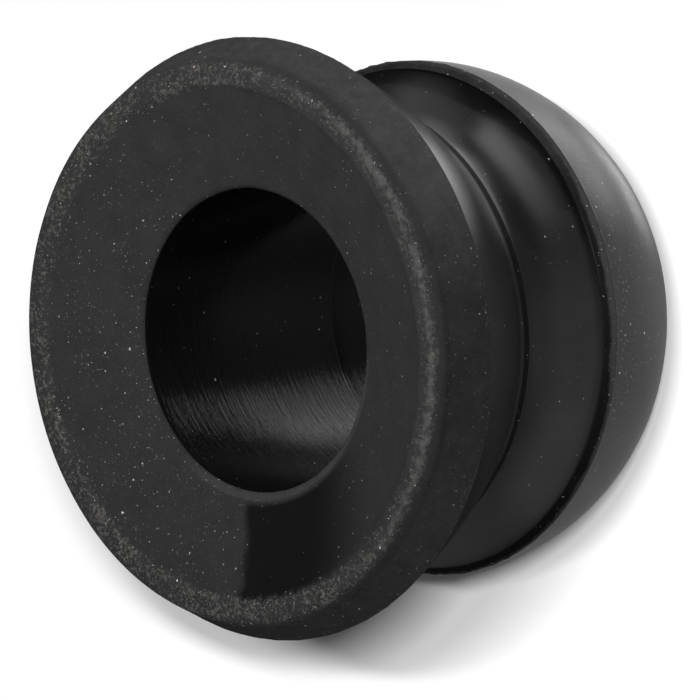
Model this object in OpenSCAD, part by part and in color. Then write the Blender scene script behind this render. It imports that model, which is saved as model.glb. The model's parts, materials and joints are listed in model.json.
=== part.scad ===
// Round moulded rubber grommet: a dished flange, a hollow groove and a domed head round one through bore.
// It stands on the flat end of its head. The axis is +Z, the flange is at the top, and sizes are millimetres.

/* [Flange] */
// Diameter over the flange's back edge, its widest place, as if that edge were sharp
flange_d = 30; // [25:0.5:40]
// Thickness of the flange from its front rim to its back edge
flange_t = 2.6; // [1.5:0.1:5]
// How far the side wall leans in from the back edge to the front rim, on the radius
side_lean = 1.2; // [0.4:0.1:2]
// Width of the flat rim round the dished face
rim_w = 1; // [0.5:0.1:2]
// Radius of the rim's outer corner
rim_round = 0.45; // [0.2:0.05:0.5]
// Radius of the back edge
back_round = 0.5; // [0.2:0.1:1]
// Length of the bulged back from the back edge to its foot
back_l = 5.5; // [4:0.1:8]
// How far the back turns away from a straight cone at either end, in degrees
back_bulge = 4; // [1:1:20]

/* [Bore] */
// Diameter of the bore
bore_d = 15; // [12:0.1:18]
// Depth of the dished face at the bore's mouth
dish_h = 1.9; // [1:0.1:3]
// Length of the bore from its mouth to the shoulder
bore_l = 13.8; // [11:0.1:17]
// Radius of the bore's mouth
mouth_round = 0.4; // [0.2:0.05:0.6]
// Width of the shoulder where the bore opens into the wider socket
shoulder_w = 0.7; // [0.4:0.1:1]
// Radius of the shoulder's edge
shoulder_round = 0.15; // [0.05:0.05:0.3]

/* [Groove] */
// Length of the hollow corner between the flange's foot and the groove's floor
foot_l = 1.1; // [0.8:0.1:2]
// Height of the flange's foot above the groove's floor
foot_h = 0.75; // [0.4:0.05:1]
// Radius of the flange's foot
foot_round = 0.2; // [0.05:0.05:0.25]
// Length of the neck from the groove's floor up to the head's step
neck_l = 4.55; // [3:0.05:8]
// Depth of the groove's floor below the head's step
neck_h = 1.2; // [0.6:0.1:2]

/* [Head] */
// Diameter over the head's edge
head_d = 26; // [23:0.5:30]
// Size of the slanted step in front of the head's edge, the same along and across
step_w = 0.45; // [0.2:0.05:1]
// Radius of the head's edge
edge_round = 0.12; // [0.05:0.01:0.3]
// Length of the dome from the head's edge to its flat end
head_l = 8.3; // [6:0.1:12]
// Width of the flat ring that the head ends in
end_w = 0.8; // [0.5:0.1:1.2]
// Radius of the end ring's outer corner
end_round = 0.2; // [0.05:0.05:0.3]

/* [Hidden] */

// Steps round one turn, in one rounded corner, and in each long curve of the outline
turn_steps = 180;
round_steps = 6;
back_steps = 6;
foot_steps = 8;
neck_steps = 12;
dome_steps = 24;

// Radii of the outline, from the bore outwards
bore_r = bore_d / 2;
socket_r = bore_r + shoulder_w;
end_r = socket_r + end_w;
head_r = head_d / 2;
neck_r = head_r - step_w;
floor_r = neck_r - neck_h;
foot_r = floor_r + foot_h;
flange_r = flange_d / 2;
face_r = flange_r - side_lean;

// Heights of the outline, from the head's flat end up
edge_z = head_l;
step_z = edge_z + step_w;
floor_z = step_z + neck_l;
foot_z = floor_z + foot_l;
back_z = foot_z + back_l;
rim_z = back_z + flange_t;
mouth_z = rim_z - dish_h;
shoulder_z = mouth_z - bore_l;

// Half the turn of each hollow stretch, so that both meet the groove's floor along the axis
foot_bow = atan(foot_h / foot_l);
neck_bow = atan(neck_h / neck_l);

// The dome is part of an ellipse that starts upright at the head's edge and reaches the end ring
dome_end = acos(end_r / head_r);
dome_b = head_l / sin(dome_end);

function unit(v) = v / norm(v);

// Points of an arc of radius r that rounds the corner at p, between the corners a and b
function rounded(a, p, b, r) =
    let (
        u = unit(a - p),
        v = unit(b - p),
        half = acos(u * v) / 2,
        mid = p + unit(u + v) * r / sin(half),
        from = p + u * r / tan(half) - mid,
        to = p + v * r / tan(half) - mid,
        swing = 180 - 2 * half,
        side = sign(from.x * to.y - from.y * to.x)
    )
    [for (i = [0:round_steps])
        let (t = side * swing * i / round_steps)
        mid + [from.x * cos(t) - from.y * sin(t), from.x * sin(t) + from.y * cos(t)]];

// Points in n steps of an arc from p to q, without either end, that turns by a degrees either side of
// their straight line. A positive a bows to the left of the way from p to q.
function bowed(p, q, a, n) =
    let (
        along = unit(q - p),
        left = [-along.y, along.x],
        r = norm(q - p) / (2 * sin(a))
    )
    [for (i = [1:n - 1])
        let (t = a * (2 * i / n - 1))
        p + along * r * (sin(t) + sin(a)) + left * r * (cos(t) - cos(a))];

// Points of the dome, from the head's edge down to just before the end ring
dome = [for (i = [1:dome_steps - 1])
    let (t = dome_end * i / dome_steps)
    [head_r * cos(t), edge_z - dome_b * sin(t)]];

// Corners of the outline
socket_end = [socket_r, 0];
socket_top = [socket_r, shoulder_z];
shoulder = [bore_r, shoulder_z];
mouth = [bore_r, mouth_z];
rim_in = [face_r - rim_w, rim_z];
rim_out = [face_r, rim_z];
back_edge = [flange_r, back_z];
foot = [foot_r, foot_z];
floor_line = [floor_r, floor_z];
neck_top = [neck_r, step_z];
head_edge = [head_r, edge_z];
dome_foot = [end_r, 0];

// Long curves of the outline, without their ends
back = bowed(back_edge, foot, back_bulge, back_steps);
hollow = bowed(foot, floor_line, -foot_bow, foot_steps);
neck = bowed(floor_line, neck_top, -neck_bow, neck_steps);

module grommet() {
    color("#2a2a2c")
        rotate_extrude($fn = turn_steps)
            polygon(concat(
                [socket_end, socket_top],
                rounded(socket_top, shoulder, mouth, shoulder_round),
                rounded(shoulder, mouth, rim_in, mouth_round),
                [rim_in],
                rounded(rim_in, rim_out, back_edge, rim_round),
                rounded(rim_out, back_edge, back[0], back_round),
                back,
                rounded(back[back_steps - 2], foot, hollow[0], foot_round),
                hollow,
                [floor_line],
                neck,
                [neck_top],
                rounded(neck_top, head_edge, dome[0], edge_round),
                dome,
                rounded(dome[dome_steps - 2], dome_foot, socket_end, end_round)
            ));
}

grommet();
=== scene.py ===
import json
import math

import bpy
import numpy as np
from mathutils import Matrix, Vector, noise


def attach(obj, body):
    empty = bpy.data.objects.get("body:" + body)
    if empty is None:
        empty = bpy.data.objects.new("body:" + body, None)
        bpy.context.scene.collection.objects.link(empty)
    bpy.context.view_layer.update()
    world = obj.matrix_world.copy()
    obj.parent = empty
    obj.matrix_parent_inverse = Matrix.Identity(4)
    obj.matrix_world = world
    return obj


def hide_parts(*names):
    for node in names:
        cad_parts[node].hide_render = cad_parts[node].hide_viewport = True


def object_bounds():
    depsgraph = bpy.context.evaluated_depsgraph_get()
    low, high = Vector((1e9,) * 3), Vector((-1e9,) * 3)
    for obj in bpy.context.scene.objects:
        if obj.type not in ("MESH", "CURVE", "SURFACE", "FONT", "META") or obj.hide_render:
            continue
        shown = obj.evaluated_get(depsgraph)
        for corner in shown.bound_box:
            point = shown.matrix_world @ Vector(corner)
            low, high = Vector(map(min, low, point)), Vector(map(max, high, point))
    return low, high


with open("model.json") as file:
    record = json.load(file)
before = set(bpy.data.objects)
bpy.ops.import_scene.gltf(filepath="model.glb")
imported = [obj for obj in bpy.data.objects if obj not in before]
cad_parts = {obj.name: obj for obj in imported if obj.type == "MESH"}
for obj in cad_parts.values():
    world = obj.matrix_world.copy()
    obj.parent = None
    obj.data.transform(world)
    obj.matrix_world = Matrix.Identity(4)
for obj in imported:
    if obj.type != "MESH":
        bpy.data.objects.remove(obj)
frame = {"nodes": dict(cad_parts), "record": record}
cad_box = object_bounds()


# ---------------------------------------------------------------- sizes
# Lengths are in millimetres, as in the part's source. MM turns them into the frame's metres.
MM = 0.001

# Heights on the part's outline, from the top down.
RIM_Z = round(cad_box[1][2] / MM, 2)
MOUTH_Z = RIM_Z - 1.9  # the dished face meets the bore
BACK_Z = RIM_Z - 2.6  # the flange's wall meets its back
FLOOR_Z = 13.3  # the flange's foot meets the neck
STEP_Z = 8.75  # the neck meets the head's step
EDGE_Z = 8.3  # the step meets the dome

# Radii on the part's outline.
mounts = {mount["name"]: mount["dims"] for mount in frame["record"]["mounts"]}
WIDEST_R = round(cad_box[1][0] / MM, 2)
FACE_R = WIDEST_R - 1.15  # the rim meets the flange's wall
FLOOR_R = 11.35
HEAD_R = 13.0
NECK_R = HEAD_R - 0.45
BORE_R = mounts["bore"]["r_mm"]
SOCKET_R = mounts["socket"]["r_mm"]
SOCKET_L = mounts["socket"]["length_mm"]

# Points round the part and along its outline.
AROUND = 480
ALONG = 206

# How the outline is smoothed: the step it is read at, the shortest step between two of its points, and
# how many degrees a sharp corner turns at least, with the width that it is rounded over.
FINE_STEP = 0.004
SHORTEST_STEP = 0.045
SHARP_TURN = 16.2
SHARP_WIDTH = 0.06

# The photograph's view. The roll puts +X up in the picture, because the part lies on its side there.
CAMERA_AT = Vector((0, -273.74, 304.13))
CAMERA_AIM = Vector((-1.13, 6.875, 6.486))
CAMERA_ROLL = -97.84  # degrees
CAMERA_LENS = 411.4

# The floor and the lights, in metres.
FLOOR_HALF = 3.0
KEY_AWAY = 0.6
KEY_SIZE = 0.3
STRIP_AWAY = 3.0
STRIP_WIDTH = 0.1


# ---------------------------------------------------------------- camera
def make_camera():
    data = bpy.data.cameras.new("camera")
    data.lens = CAMERA_LENS
    data.clip_start, data.clip_end = 0.01, 20
    camera = bpy.data.objects.new("camera", data)
    bpy.context.scene.collection.objects.link(camera)
    look = (CAMERA_AIM - CAMERA_AT).to_track_quat("-Z", "Y").to_matrix().to_4x4()
    turn = Matrix.Rotation(math.radians(CAMERA_ROLL), 4, "Z")
    camera.matrix_world = Matrix.Translation(CAMERA_AT * MM) @ look @ turn
    bpy.context.scene.camera = camera


# ---------------------------------------------------------------- shader nodes
class Graph:
    """Adds nodes to the tree of one material or world, and links them."""

    def __init__(self, tree):
        self.tree = tree
        tree.nodes.clear()

    def add(self, kind, inputs=(), **settings):
        node = self.tree.nodes.new("ShaderNode" + kind)
        for name, value in settings.items():
            setattr(node, name, value)
        for name, value in dict(inputs).items():
            self.put(node.inputs[name], value)
        return node

    def put(self, socket, value):
        """Links the value to the socket, or sets the socket where the value is a plain one."""
        if isinstance(value, bpy.types.NodeSocket):
            self.tree.links.new(value, socket)
        else:
            socket.default_value = value

    def math(self, operation, a, b=0.0):
        return self.add("Math", {0: a, 1: b}, operation=operation).outputs[0]

    def times(self, *values):
        out = values[0]
        for value in values[1:]:
            out = self.math("MULTIPLY", out, value)
        return out

    def plus(self, *values):
        out = values[0]
        for value in values[1:]:
            out = self.math("ADD", out, value)
        return out

    def line(self, value, low, high, start=0.0, end=1.0, kind="LINEAR"):
        """Goes evenly from start to end as value goes from low to high."""
        given = {"Value": value, "From Min": low, "From Max": high, "To Min": start, "To Max": end}
        return self.add("MapRange", given, interpolation_type=kind).outputs[0]

    def step(self, value, low, high, start=0.0, end=1.0):
        """The same with smooth ends."""
        return self.line(value, low, high, start, end, "SMOOTHSTEP")

    def varied(self, value, start, end):
        """Spreads the middle of a noise over start to end."""
        return self.line(value, 0.3, 0.7, start, end)

    def scale_where(self, share, factor):
        """1 where share is 0, and the factor where share is 1."""
        return self.line(share, 0, 1, 1, factor)

    def tint(self, share, a, b):
        """The colour a, and b where share is 1."""
        return self.add("Mix", {0: share, 6: a, 7: b}, data_type="RGBA").outputs[2]

    def blend(self, share, a, b):
        """The number a, and b where share is 1."""
        return self.add("Mix", {0: share, 2: a, 3: b}, data_type="FLOAT").outputs[0]

    def scaled(self, where, factors, shift=(0, 0, 0)):
        return self.add("Mapping", {"Vector": where, "Scale": factors, "Location": shift}).outputs[0]

    def noise(self, where, size, detail=2.0, rough=0.5, shift=0.0):
        """Soft noise from 0 to 1 with features of about size millimetres."""
        if shift:
            where = self.scaled(where, (1, 1, 1), (shift, -shift, 2 * shift))
        given = {"Vector": where, "Scale": 1 / (size * MM), "Detail": detail, "Roughness": rough}
        return self.add("TexNoise", given).outputs[0]

    def dot(self, where, direction):
        node = self.add("VectorMath", {0: where, 1: tuple(direction)}, operation="DOT_PRODUCT")
        return node.outputs["Value"]


def grey(level):
    return (level, level, level, 1)


# ---------------------------------------------------------------- floor and lights
def make_floor():
    """A plain pale floor under the part. It catches the shadow, and the part doesn't mirror it."""
    mesh = bpy.data.meshes.new("floor")
    half = FLOOR_HALF
    corners = [(-half, -half, 0), (half, -half, 0), (half, half, 0), (-half, half, 0)]
    mesh.from_pydata(corners, [], [(0, 1, 2, 3)])
    floor = bpy.data.objects.new("floor", mesh)
    bpy.context.scene.collection.objects.link(floor)
    floor.visible_glossy = False
    floor.visible_shadow = False
    material = bpy.data.materials.new("floor")
    material.use_nodes = True
    g = Graph(material.node_tree)
    where = g.add("TexCoord").outputs["Object"]
    colour = g.tint(g.noise(where, 40, 3), grey(0.86), grey(0.9))
    surface = g.add("BsdfDiffuse", {"Color": colour})
    g.add("OutputMaterial", {"Surface": surface.outputs[0]})
    mesh.materials.append(material)
    return floor


def toward(x, y, z):
    return Vector((x, y, z)).normalized()


def seen(right, up, away):
    """The direction that lies so far to the right, up and away, as the camera sees it."""
    turned = bpy.context.scene.camera.matrix_world.to_3x3() @ Vector((right, up, -away))
    return turned.normalized()


def place_light(data, only, direction, distance, side):
    """Puts the light at that distance, aimed at the origin. It lights only the one object given."""
    light = bpy.data.objects.new(data.name, data)
    bpy.context.scene.collection.objects.link(light)
    turned = Matrix((side, direction.cross(side), direction)).transposed()
    light.matrix_world = Matrix.Translation(direction * distance) @ turned.to_4x4()
    light.visible_camera = False
    lit = bpy.data.collections.new(data.name + "_lights")
    lit.objects.link(only)
    light.light_linking.receiver_collection = lit


def make_key(only, direction, power):
    """A round soft light."""
    data = bpy.data.lights.new("key", "AREA")
    data.shape = "DISK"
    data.size = KEY_SIZE
    data.energy = power
    side = Vector((0, 0, 1)).cross(direction).normalized()
    place_light(data, only, direction, KEY_AWAY, side)


def make_strip(name, only, start, end, power):
    """A narrow light that reaches from the start direction to the end direction."""
    data = bpy.data.lights.new(name, "AREA")
    data.shape = "RECTANGLE"
    data.size = STRIP_WIDTH
    data.size_y = 2 * STRIP_AWAY * math.tan(start.angle(end) / 2)
    data.energy = power
    middle = (start + end).normalized()
    side = (end - start).cross(middle).normalized()
    place_light(data, only, middle, STRIP_AWAY, side)


# ---------------------------------------------------------------- world
def soft_patch(g, way, direction, inner, outer, strength):
    """A round patch of light on the sky: full within inner degrees, gone at outer degrees."""
    edge, core = (math.cos(math.radians(angle)) for angle in (outer, inner))
    return g.step(g.dot(way, direction), edge, core, 0, strength)


def soft_strip(g, way, start, end, inner, outer, strength):
    """A long patch of light, which fades towards end: full within inner degrees of the line from start
    to end, and gone at outer degrees."""
    pole = start.cross(end)
    edge, core = (math.sin(math.radians(angle)) for angle in (outer, inner))
    across = g.step(g.math("ABSOLUTE", g.dot(way, pole.normalized())), edge, core)
    onward = g.dot(way, pole.cross(start).normalized())
    reach = math.sin(start.angle(end))
    along = g.times(g.step(onward, -0.12, 0.02), g.line(onward, 0.35 * reach, 1.15 * reach, 1.0, 0.0))
    same_side = g.step(g.dot(way, start), -0.1, 0.1)
    return g.times(across, along, same_side, strength)


def make_world():
    """White to the camera, and to all else a dark studio with a few soft lights in it."""
    world = bpy.data.worlds.new("studio")
    world.use_nodes = True
    bpy.context.scene.world = world
    g = Graph(world.node_tree)
    way = g.add("TexCoord").outputs["Generated"]
    # The studio is brighter low in the picture.
    light = g.step(g.dot(way, seen(0, -1, 0)), 0.1, 0.9, 0.025, 0.2)
    # Each round light's direction, its inner and outer degrees, and its strength.
    for patch in (
        (seen(0.42, 0.27, 0.865), 4.5, 8, 3.2),
        (seen(0.62, 0.64, 0.45), 14, 18, 2.3),
        (seen(0.90, 0.15, 0.40), 10, 45, 0.15),
        (seen(0.10, 0.80, 0.58), 8, 24, 0.35),
        (seen(0.38, 0.70, 0.60), 6, 16, 0.8),
        (seen(0.80, -0.25, -0.54), 10, 48, 0.5),
        (seen(0.44, -0.88, -0.1), 5, 35, 0.45),
    ):
        light = g.plus(light, soft_patch(g, way, *patch))
    # A long light, from overhead to the upper right behind the camera.
    overhead = soft_strip(g, way, seen(0.225, 0.96, 0.15), seen(0.66, 0.57, -0.49), 5, 11, 2.3)
    light = g.plus(light, overhead)
    shown = g.blend(g.add("LightPath").outputs["Is Camera Ray"], light, 1.0)
    surface = g.add("Background", {"Strength": shown})
    g.add("OutputWorld", {"Surface": surface.outputs[0]})


# ---------------------------------------------------------------- the outline, from the CAD
def cad_outline(node):
    """The CAD outline as (r, z) points in order, starting at the outer end of the flat ring."""
    mesh = node.data
    points = np.zeros(len(mesh.vertices) * 3)
    mesh.vertices.foreach_get("co", points)
    points = points.reshape(-1, 3) / MM
    edges = np.zeros(len(mesh.edges) * 2, int)
    mesh.edges.foreach_get("vertices", edges)
    # Points are told apart to a thousandth of a millimetre. The outline is where the mesh crosses +X.
    keys = [tuple(key) for key in np.round(points * 1000).astype(int)]
    seam = {key for key, point in zip(keys, points) if abs(point[1]) < 1e-4 and point[0] > 0}
    joined = {}
    for a, b in edges.reshape(-1, 2):
        a, b = keys[a], keys[b]
        if a != b and a in seam and b in seam:
            joined.setdefault(a, set()).add(b)
            joined.setdefault(b, set()).add(a)
    first = max((key for key in joined if key[2] == 0), key=lambda key: key[0])
    loop = [first]
    following = max(joined[first], key=lambda key: key[0])
    while following != first:
        loop.append(following)
        following = [key for key in joined[following] if key != loop[-2]][0]
    return np.array([(key[0], key[2]) for key in loop]) / 1000


def longest_step(r, z):
    """The longest distance between two points of the outline. The straight bore needs fewer."""
    in_bore = (r < BORE_R + 0.2) & (z < MOUTH_Z - 0.6)
    return np.where(in_bore, 0.62, 0.34)


def corner_widths(loop, length):
    """The width that each corner turns over: its shorter side, or very little where it is sharp."""
    heading = np.diff(loop, axis=0) / length[:, None]
    before = np.roll(heading, 1, axis=0)
    widths = np.minimum(length, np.roll(length, 1))
    widths[(heading * before).sum(1) < math.cos(math.radians(SHARP_TURN))] = SHARP_WIDTH
    return widths


def averaged(value, fine, total, width):
    """The value at each fine step of the closed outline, averaged over the width there."""
    tripled = np.r_[fine - total, fine, fine + total]
    summed = np.cumsum(np.tile(value, 3)) * FINE_STEP
    high = np.interp(fine + width / 2, tripled, summed)
    low = np.interp(fine - width / 2, tripled, summed)
    return (high - low) / width


def smooth_outline(corners, count):
    """The outline resampled to count points, closer together where it turns, with its facets rounded."""
    loop = np.vstack([corners, corners[:1]])
    length = np.hypot(*np.diff(loop, axis=0).T)
    at = np.r_[0, np.cumsum(length)]
    total = at[-1]
    fine = np.arange(0, total, FINE_STEP)
    dense = [np.interp(fine, at, loop[:, axis]) for axis in (0, 1)]
    # The width to average over and the spacing of the points both grow with the distance from a corner.
    tight = corner_widths(loop, length)[None]
    apart = np.abs(fine[:, None] - at[None, :-1])
    apart = np.minimum(apart, total - apart)
    width = (tight + 0.5 * apart).min(1)
    spacing = (0.45 * tight + 0.22 * apart).min(1)
    spacing = np.clip(spacing, SHORTEST_STEP, longest_step(*dense))
    smooth = [averaged(value, fine, total, width) for value in dense]
    share = np.cumsum(1 / spacing)
    share = (share - share[0]) / share[-1] * count
    picked = np.interp(np.arange(count), share, fine)
    return np.stack([np.interp(picked, fine, value) for value in smooth], 1)


# ---------------------------------------------------------------- the part
def rough_spots(r, z):
    """The uneven places on the outline. Each has its share of each point, how far it stands out on average,
    and its waves: the height of each and how many there are to about a millimetre."""

    def near(r0, z0, width):
        return np.exp(-((r - r0) ** 2 + (z - z0) ** 2) / width ** 2)

    rim_r, rim_half, rim_fade = FACE_R - 0.65, 0.3, 0.15
    off_rim = np.maximum(0, np.abs(r - rim_r) - rim_half)
    rim = np.exp(-off_rim ** 2 / rim_fade ** 2) * (z > RIM_Z - 0.3)
    wall_edge = near(WIDEST_R - 0.03, BACK_Z, 0.3)
    mouth = near(BORE_R + 0.12, MOUTH_Z - 0.1, 0.25)
    head_flash = near(HEAD_R - 0.01, EDGE_Z - 0.02, 0.09)
    foot_lip = near(FLOOR_R + 0.05, FLOOR_Z - 0.08, 0.14)
    return (
        (rim, 0.03, ((0.035, 1.7), (0.02, 3.4))),
        (wall_edge, 0.0, ((0.02, 1.1), (0.02, 3.1))),
        (mouth, 0.0, ((0.03, 0.6), (0.015, 2.3))),
        (head_flash, 0.02, ((0.05, 2.1), (0.04, 4.3))),
        (foot_lip, 0.05, ((0.03, 0.5),)),
    )


def stand_out(outline, radial):
    """How far each point of the part stands out from the smooth outline. All of it is a little uneven,
    but it stays flat where it stands."""
    r, z = outline.T
    off_ground = np.clip(z / 0.8, 0, 1)
    spots = rough_spots(r, z)
    out = np.zeros((len(r), len(radial)))
    for j, (cx, cy) in enumerate(radial):
        for i in range(len(r)):
            place = Vector((cx * r[i], cy * r[i], z[i]))
            out[i, j] = 0.02 * noise.noise(place * 0.3) * off_ground[i]
            for share, mean, waves in spots:
                if share[i] > 0.01:
                    height = mean + sum(size * noise.noise(place * pitch) for size, pitch in waves)
                    out[i, j] += share[i] * height
    return out


def material_rows(outline):
    """The material of each row of faces: 0 front, 1 groove, 2 dome, 3 bore, 4 shade."""
    r, z = (outline.T + np.roll(outline.T, -1, axis=1)) / 2
    outside = r > BORE_R + 2
    past_socket = r > SOCKET_R + 0.5
    rows = np.zeros(len(outline), int)
    rows[outside & (z < BACK_Z - 0.5)] = 1
    rows[past_socket & (z < EDGE_Z + 0.02)] = 2
    rows[(r < BORE_R + 0.03) | (~past_socket & (z < SOCKET_L + 0.7))] = 3
    rows[(r > NECK_R + 0.07) & (z > EDGE_Z - 0.1) & (z < STEP_Z + 0.05)] = 4
    rows[outside & (z > FLOOR_Z - 0.55) & (z < FLOOR_Z - 0.05)] = 4
    return rows


def revolved(outline):
    """A mesh of the outline turned round the axis, finely enough for its uneven edges to be real geometry."""
    angle = 2 * np.pi * np.arange(AROUND) / AROUND
    radial = np.stack([np.cos(angle), np.sin(angle)], 1)
    # The outline runs up the outside, so outwards is to the right of its way ahead.
    ahead = np.roll(outline, -1, axis=0) - np.roll(outline, 1, axis=0)
    ahead /= np.hypot(*ahead.T)[:, None]
    out = stand_out(outline, radial)
    r = outline[:, :1] + ahead[:, 1:] * out
    z = outline[:, 1:] - ahead[:, :1] * out
    points = np.stack([r * radial[:, 0], r * radial[:, 1], z], 2).reshape(-1, 3) * MM
    row, turn = np.meshgrid(np.arange(ALONG) * AROUND, np.arange(AROUND), indexing="ij")
    next_row = np.roll(row, -1, axis=0)
    next_turn = np.roll(turn, -1, axis=1)
    corners = [row + turn, row + next_turn, next_row + next_turn, next_row + turn]
    faces = np.stack(corners, 2).reshape(-1, 4)
    mesh = bpy.data.meshes.new("grommet_body")
    mesh.from_pydata(points.tolist(), [], faces.tolist())
    mesh.polygons.foreach_set("use_smooth", np.ones(len(faces), bool))
    return mesh


def make_grommet():
    outline = smooth_outline(cad_outline(frame["nodes"]["grommet"]), ALONG)
    mesh = revolved(outline)
    body = bpy.data.objects.new("grommet_body", mesh)
    bpy.context.scene.collection.objects.link(body)
    for make in (make_front, make_groove, make_dome, make_bore, make_shade):
        mesh.materials.append(make())
    mesh.polygons.foreach_set("material_index", np.repeat(material_rows(outline), AROUND))
    mesh.update()
    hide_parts("grommet")
    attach(body, "root")
    return body


# ---------------------------------------------------------------- rubber
class Rubber(Graph):
    """One rubber material, which knows its place on the part: x, y, z and r are in millimetres."""

    def __init__(self, name):
        self.material = bpy.data.materials.new("rubber_" + name)
        self.material.use_nodes = True
        super().__init__(self.material.node_tree)
        self.where = self.add("TexCoord").outputs["Object"]
        parts = self.add("SeparateXYZ", {0: self.where}).outputs
        self.x, self.y, self.z = (self.times(part, 1 / MM) for part in parts)
        flat = self.add("VectorMath", {0: self.where, 1: (1, 1, 0)}, operation="MULTIPLY").outputs[0]
        radius = self.add("VectorMath", {0: flat}, operation="LENGTH").outputs["Value"]
        self.r = self.times(radius, 1 / MM)

    def grain(self, size, detail, rough, shift=0.0):
        return self.noise(self.where, size, detail, rough, shift)

    def bent_place(self, reach, shift):
        """The place on the part, moved unevenly so that flecks are ragged, and evenly by the shift."""
        fray_size = 0.09
        fray = {"Vector": self.where, "Scale": 1 / (fray_size * MM), "Detail": 1.0}
        fray = self.add("TexNoise", fray).outputs["Color"]
        moved = {0: fray, 1: (shift, -shift, 2 * shift)}
        moved = self.add("VectorMath", moved, operation="ADD").outputs[0]
        bent = {0: moved, 1: (reach * MM,) * 3, 2: self.where}
        return self.add("VectorMath", bent, operation="MULTIPLY_ADD").outputs[0]

    def dust(self, share, cell, size, brightest=0.42, shift=0.0):
        """Dust flecks scattered one to a cell: how much one covers a point, from 0 to 1, and how pale it is.
        share, from 0 to 1, says how many of the cells have one."""
        cells = {"Vector": self.bent_place(2.2 * size, shift), "Scale": 1 / (cell * MM)}
        found = self.add("TexVoronoi", cells).outputs
        chance = self.add("SeparateColor", {0: found["Color"]}).outputs
        present = self.math("LESS_THAN", chance[0], share)
        soft = size / cell * 0.4
        reach = self.line(chance[1], 0, 1, soft, size / cell)
        spot = self.step(self.math("SUBTRACT", reach, found["Distance"]), 0, soft)
        # Few flecks are pale.
        pale = self.math("POWER", chance[2], 4.0)
        return self.times(spot, present), self.line(pale, 0, 1, 0.05, brightest)

    def warm_grey(self, level, warmth):
        """A grey of that level, with a little red added and blue taken off."""
        mixed = {0: self.times(level, 1 + warmth), 1: level, 2: self.times(level, 1 - warmth)}
        return self.add("CombineColor", mixed).outputs[0]

    def coloured(self, base, layers, warmth=0.0):
        """The rubber's grey of that level, with each layer of dust over it."""
        colour = self.warm_grey(base, warmth)
        for cover, pale in layers:
            colour = self.tint(cover, colour, self.warm_grey(pale, 0.03))
        return colour

    def finish(self, colour, rough, height=None, bump=0.5, specular=0.5, brushed=0.0, sheen=0.0):
        """Joins the colour, roughness and relief (in millimetres) to one shader."""
        shader = self.add("BsdfPrincipled", {"Base Color": colour, "Roughness": rough})
        shader.inputs["Sheen Weight"].default_value = sheen
        shader.inputs["Sheen Roughness"].default_value = 0.4
        shader.inputs["Specular IOR Level"].default_value = specular
        if brushed:
            shader.inputs["Anisotropic"].default_value = brushed
            round_axis = self.add("Tangent", direction_type="RADIAL", axis="Z")
            self.put(shader.inputs["Tangent"], round_axis.outputs[0])
        if height:
            relief = self.add("Bump", {"Height": height, "Distance": MM, "Strength": bump})
            self.put(shader.inputs["Normal"], relief.outputs[0])
        self.add("OutputMaterial", {"Surface": shader.outputs[0]})
        return self.material


def dark_sector(g, coarse, ragged):
    """The darker sector of the face on the -X side of the bore."""
    slanted = g.plus(g.y, g.times(g.x, -0.149), g.varied(coarse, -0.25, 0.25))
    slanted = g.plus(slanted, g.times(g.step(g.x, -10.0, -13.5), -0.8))
    sides = g.times(g.step(slanted, 3.3, 2.5), g.step(slanted, -7.5, -1.5))
    inner_end = g.times(g.step(g.x, -4.5, -7.0), g.step(g.r, BORE_R + 0.45, BORE_R + 0.75))
    return g.times(sides, inner_end, g.step(ragged, FACE_R - 0.8, FACE_R - 1.4))


def painted_edge_highlight(g, ragged, on_top):
    """Painted highlight along the rim's outer edge: on the -Y side, with gaps."""
    ring = g.times(g.step(ragged, FACE_R - 0.5, FACE_R - 0.3), g.step(ragged, FACE_R + 0.05, FACE_R - 0.15))
    gaps = g.step(g.grain(0.6, 3, 0.6, 1.3), 0.35, 0.6)
    return g.times(ring, g.step(g.y, -3.0, -12.0), gaps, on_top)


def front_base(g, fine, coarse, wall):
    """The level of the front's bare rubber, with painted light and shade, apart from its darker sector and
    painted edge highlight.
    """
    blotch = g.grain(0.7, 4, 0.7, 1.0)
    blotch = g.blend(wall, g.varied(blotch, 0.96, 1.04), g.varied(blotch, 0.8, 1.2))
    # Painted light and shade: the face is lighter towards +X and towards -Y.
    across = g.times(g.line(g.x, -12, 12, 0.88, 1.24), g.line(g.y, -12, 12, 1.07, 0.86))
    # Painted light and shade along the wall: lightest on its +X side and darkest from about x = -4 to 0 mm.
    painted_light_on_wall = g.times(g.step(g.x, 0.0, 8.0, 0.48, 1.15), g.step(g.x, -4.0, -11.0, 1.0, 1.6))
    # Painted highlight: the bore's mouth is paler on its -X side. Painted shade: the wall's top is darker on
    # its -Y side.
    low_side = g.plus(g.times(g.x, -0.95), g.times(g.y, -0.3))
    mouth = g.times(g.step(g.r, BORE_R + 0.5, BORE_R + 0.35), g.step(low_side, 3.0, 5.5))
    painted_shade_wall_top = g.times(g.step(g.r, FACE_R - 0.2, FACE_R + 0.05), g.step(g.z, RIM_Z - 0.9, RIM_Z - 0.5))
    painted_shade_wall_top = g.times(painted_shade_wall_top, g.step(g.y, -2.0, -8.0))
    base = g.times(g.varied(fine, 0.024, 0.030), g.varied(coarse, 0.88, 1.12), blotch, across)
    base = g.times(base, g.blend(wall, 1.0, painted_light_on_wall))
    return g.times(base, g.scale_where(mouth, 1.6), g.scale_where(painted_shade_wall_top, 0.7))


def rim_crust(g, rim):
    """A film of pale crust on the rim, and its thick places: how much of each there is, and how pale."""
    lumps = g.plus(g.grain(0.2, 2, 0.75, 0.8), g.times(g.grain(1.0, 2, 0.6), 0.35))
    cover = g.times(rim, g.step(g.y, -5.0, -12.0, 1.0, 0.6))
    film = (g.times(g.step(lumps, 0.5, 0.7), cover, 0.45), 0.035)
    thick = (g.times(g.step(lumps, 0.66, 0.80), cover, 0.8), g.line(lumps, 0.65, 0.9, 0.04, 0.12))
    return film, thick


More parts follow.
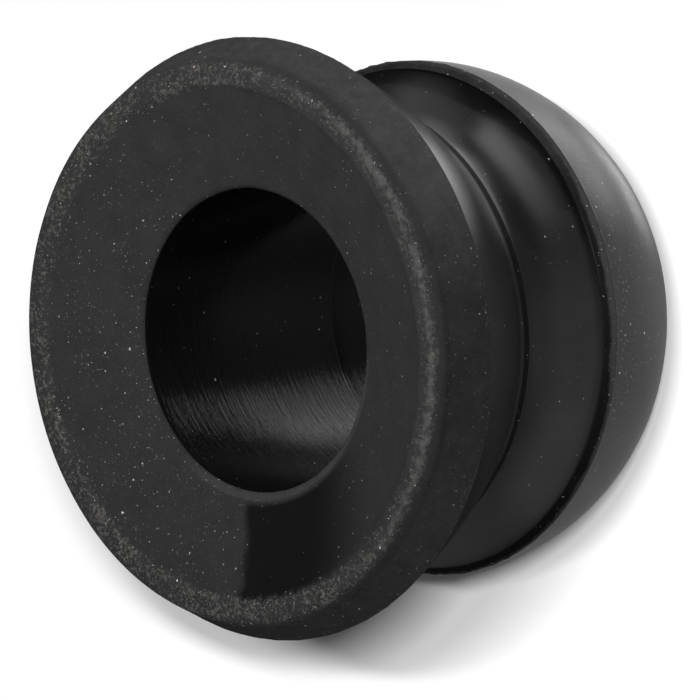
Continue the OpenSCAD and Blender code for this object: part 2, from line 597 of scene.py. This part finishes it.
def make_front():
    """The face, the rim and the flange's wall: matte and dusty, with a pale crust on the rim, and painted
    light, shade and highlight in their colour.
    """
    g = Rubber("front")
    fine = g.grain(0.12, 3, 0.6)
    coarse = g.grain(1.6, 4, 0.6)
    ragged = g.plus(g.r, g.line(g.grain(0.45, 3, 0.65), 0.2, 0.8, -0.25, 0.25))
    # The rim's crust is narrower on the -Y side.
    inner = g.plus(ragged, g.step(g.y, 4.0, -10.0, 0.0, -0.5))
    on_top = g.step(g.z, RIM_Z - 0.6, RIM_Z - 0.2)
    rim = g.times(g.step(inner, FACE_R - 1.45, FACE_R - 1.1), on_top)
    rim = g.times(rim, g.step(g.r, FACE_R + 0.2, FACE_R - 0.05))
    outside = g.step(g.r, FACE_R - 0.6, FACE_R - 0.4)
    wall = g.times(g.step(g.z, RIM_Z - 0.4, RIM_Z - 0.7), outside)
    back_edge = g.times(g.step(g.z, BACK_Z + 0.25, BACK_Z), outside)
    in_dark_sector = dark_sector(g, coarse, ragged)
    # Dust lies thickest on the +Y and -X sides, on the rim and along the wall's back edge.
    dusty = g.step(g.plus(g.times(g.y, 0.075), g.times(g.x, -0.03)), -0.5, 0.75)
    cloud = g.step(g.grain(2.2, 3, 0.6, 3.0), 0.38, 0.62)
    share = g.plus(g.times(dusty, g.line(cloud, 0, 1, 0.3, 1.0), 0.6), 0.14)
    share = g.plus(share, g.times(rim, g.line(dusty, 0, 1, 0.35, 0.8)))
    share = g.plus(g.times(share, g.scale_where(wall, 0.7)), g.times(back_edge, 0.5))
    share = g.times(share, g.scale_where(in_dark_sector, 0.04))
    small = g.dust(share, 0.13, 0.045)
    large = g.dust(g.plus(g.times(share, 0.3), g.times(rim, 0.3)), 0.26, 0.075, 0.6, 5.0)
    fibres = g.grain(0.16, 3, 0.75, 2.0)
    scuffs = (g.times(g.step(fibres, 0.6, 0.72), share, 0.8), g.line(fibres, 0.55, 0.75, 0.04, 0.14))
    base = g.times(front_base(g, fine, coarse, wall), g.scale_where(in_dark_sector, 0.12))
    # Painted highlight: the rim's outer edge on the -Y side is made paler.
    base = g.times(base, g.scale_where(painted_edge_highlight(g, ragged, on_top), 2.8))
    colour = g.coloured(base, (*rim_crust(g, rim), scuffs, small, large), 0.01)
    height = g.times(g.line(rim, 0, 1, 0.2, 1.0), g.grain(0.16, 3, 0.65), 0.05)
    height = g.plus(height, g.times(g.math("MAXIMUM", small[0], large[0]), 0.02))
    return g.finish(colour, 0.85, height, 0.6, specular=0.15)


def make_shade():
    """The matte foot of the flange, darkened as painted shade in its crease, and the dark step of the head,
    whose outer edge is as pale as the dome. Both are lighter towards +X as painted light.
    """
    g = Rubber("shade")
    fine = g.grain(0.15, 3, 0.6)
    coarse = g.grain(0.8, 4, 0.65)
    on_step = g.step(g.z, 11.0, 9.5)
    # The pale edge is narrower at the step's +X and -X ends.
    narrower = g.plus(g.step(g.x, 3.0, 7.0, 0.0, -0.08), g.step(g.x, -3.0, -6.0, 0.0, -0.12))
    edge = g.plus(g.r, g.varied(coarse, -0.04, 0.04), narrower)
    pale = g.times(on_step, g.step(edge, HEAD_R - 0.26, HEAD_R - 0.12))
    small = g.dust(g.line(pale, 0, 1, 0.1, 0.4), 0.13, 0.045)
    large = g.dust(g.line(pale, 0, 1, 0.03, 0.12), 0.26, 0.075, 0.6, 5.0)
    dark = g.times(g.varied(fine, 0.003, 0.0045), g.varied(coarse, 0.7, 1.3))
    # Painted light: the crease and the step are lighter towards +X.
    dark = g.times(dark, g.blend(on_step, g.step(g.x, 2.0, 9.0, 1.3, 8.0), g.step(g.x, 4.0, 9.0, 1.0, 5.0)))
    base = g.blend(pale, dark, g.varied(fine, 0.03, 0.038))
    return g.finish(g.coloured(base, (small, large)), 0.75, specular=0.12)


def make_groove():
    """The flange's back and the groove: nearly black, with painted shade darkest in the corner by the head
    and painted light on the neck and the flange's back.
    """
    g = Rubber("groove")
    fine = g.grain(0.15, 3, 0.6)
    coarse = g.grain(1.2, 3, 0.55)
    cloud = g.step(g.grain(1.5, 3, 0.6, 3.0), 0.4, 0.65)
    share = g.line(cloud, 0, 1, 0.02, 0.09)
    small = g.dust(share, 0.17, 0.06)
    large = g.dust(g.times(share, 0.5), 0.3, 0.07, 0.5, 5.0)
    # Painted shade: the groove is darker in the corner by the head, over a wider band towards +X.
    past_shaded_corner = g.step(g.plus(g.z, g.step(g.x, 7.0, 11.0, 0.0, -1.0)), STEP_Z + 0.1, STEP_Z + 0.45)
    neck = g.step(g.z, FLOOR_Z - 1.5, FLOOR_Z - 2.7)
    back = g.times(g.step(g.z, FLOOR_Z + 0.7, FLOOR_Z + 2.7), g.step(g.x, -8.0, -3.0))
    base = g.times(g.varied(fine, 0.0065, 0.0085), g.varied(coarse, 0.8, 1.2))
    base = g.times(base, g.line(past_shaded_corner, 0, 1, 0.2, 1))
    # Painted light: the neck towards the head is lighter, and so is the flange's back away from its -X side.
    base = g.times(base, g.scale_where(neck, 1.5), g.scale_where(back, 1.4))
    # One side of the neck is glossier. The lip at the foot is duller, and the flange's back a little.
    glossy = g.times(g.step(g.x, 2.0, 5.0), g.step(g.y, 0.0, -4.0))
    glossy = g.times(glossy, g.step(g.z, FLOOR_Z - 0.3, FLOOR_Z - 0.8))
    lip = g.times(g.step(g.z, FLOOR_Z - 0.35, FLOOR_Z - 0.2), g.step(g.z, FLOOR_Z + 0.2, FLOOR_Z + 0.05))
    rough = g.plus(g.varied(coarse, 0.275, 0.3), g.times(glossy, -0.08))
    rough = g.plus(rough, g.step(g.z, FLOOR_Z - 0.3, FLOOR_Z + 0.2, 0, 0.01), g.times(lip, 0.1))
    return g.finish(g.coloured(base, (small, large)), rough)


def make_dome():
    """The head: a dull, dusty film, paler towards its +X end partly from the film and partly as painted
    light, paler towards its -X end as painted light, and paler where it is seen edge on.
    """
    g = Rubber("dome")
    fine = g.grain(0.15, 3, 0.6)
    coarse = g.grain(1.5, 3, 0.55)
    cloud = g.step(g.grain(1.8, 3, 0.6, 3.0), 0.4, 0.62)
    share = g.line(cloud, 0, 1, 0.3, 1.0)
    small = g.dust(share, 0.13, 0.045)
    large = g.dust(g.times(share, 0.35), 0.26, 0.075, 0.6, 5.0)
    # Paler ends: at +X partly the dusty film and partly painted light, at -X painted light.
    ends = g.times(g.step(g.x, 5.0, 11.0, 1.0, 3.2), g.step(g.x, -4.0, -9.0, 1.0, 1.8))
    base = g.times(g.varied(fine, 0.025, 0.033), g.varied(coarse, 0.9, 1.1), ends)
    rough = g.varied(coarse, 0.28, 0.36)
    return g.finish(g.coloured(base, (small, large)), rough, g.times(fine, 0.008), sheen=0.22)


def make_bore():
    """The bore and its socket: glossy, with tool marks round them that are deeper on the -X side."""
    g = Rubber("bore")
    tool = g.noise(g.scaled(g.where, (0.1, 0.1, 1)), 0.2, 4, 0.7)
    band = g.noise(g.scaled(g.where, (0.25, 0.25, 1)), 1.1, 3, 0.6)
    flecks = g.dust(0.05, 0.2, 0.07)
    rough = g.plus(g.varied(tool, 0.11, 0.17), g.varied(band, -0.02, 0.02))
    height = g.times(tool, g.step(g.x, 1.0, -4.0, 0.02, 0.07))
    colour = g.coloured(g.varied(tool, 0.0052, 0.0076), (flecks,))
    return g.finish(colour, rough, height, specular=0.18, brushed=0.6)


# ---------------------------------------------------------------- scene
make_camera()
body = make_grommet()
floor = make_floor()
make_world()
# The key light shines on the part from beside the camera, and the strips light only the floor.
make_key(body, seen(-0.4, 0.25, -0.88), 3.8)
make_strip("floor_near", floor, toward(0.069, -1.054, 1.0), toward(0.161, -0.853, 1.0), 74)
make_strip("floor_side", floor, toward(0.155, -0.758, 1.0), toward(0.183, -0.461, 1.0), 54)
bpy.context.scene.view_settings.view_transform = "Standard"
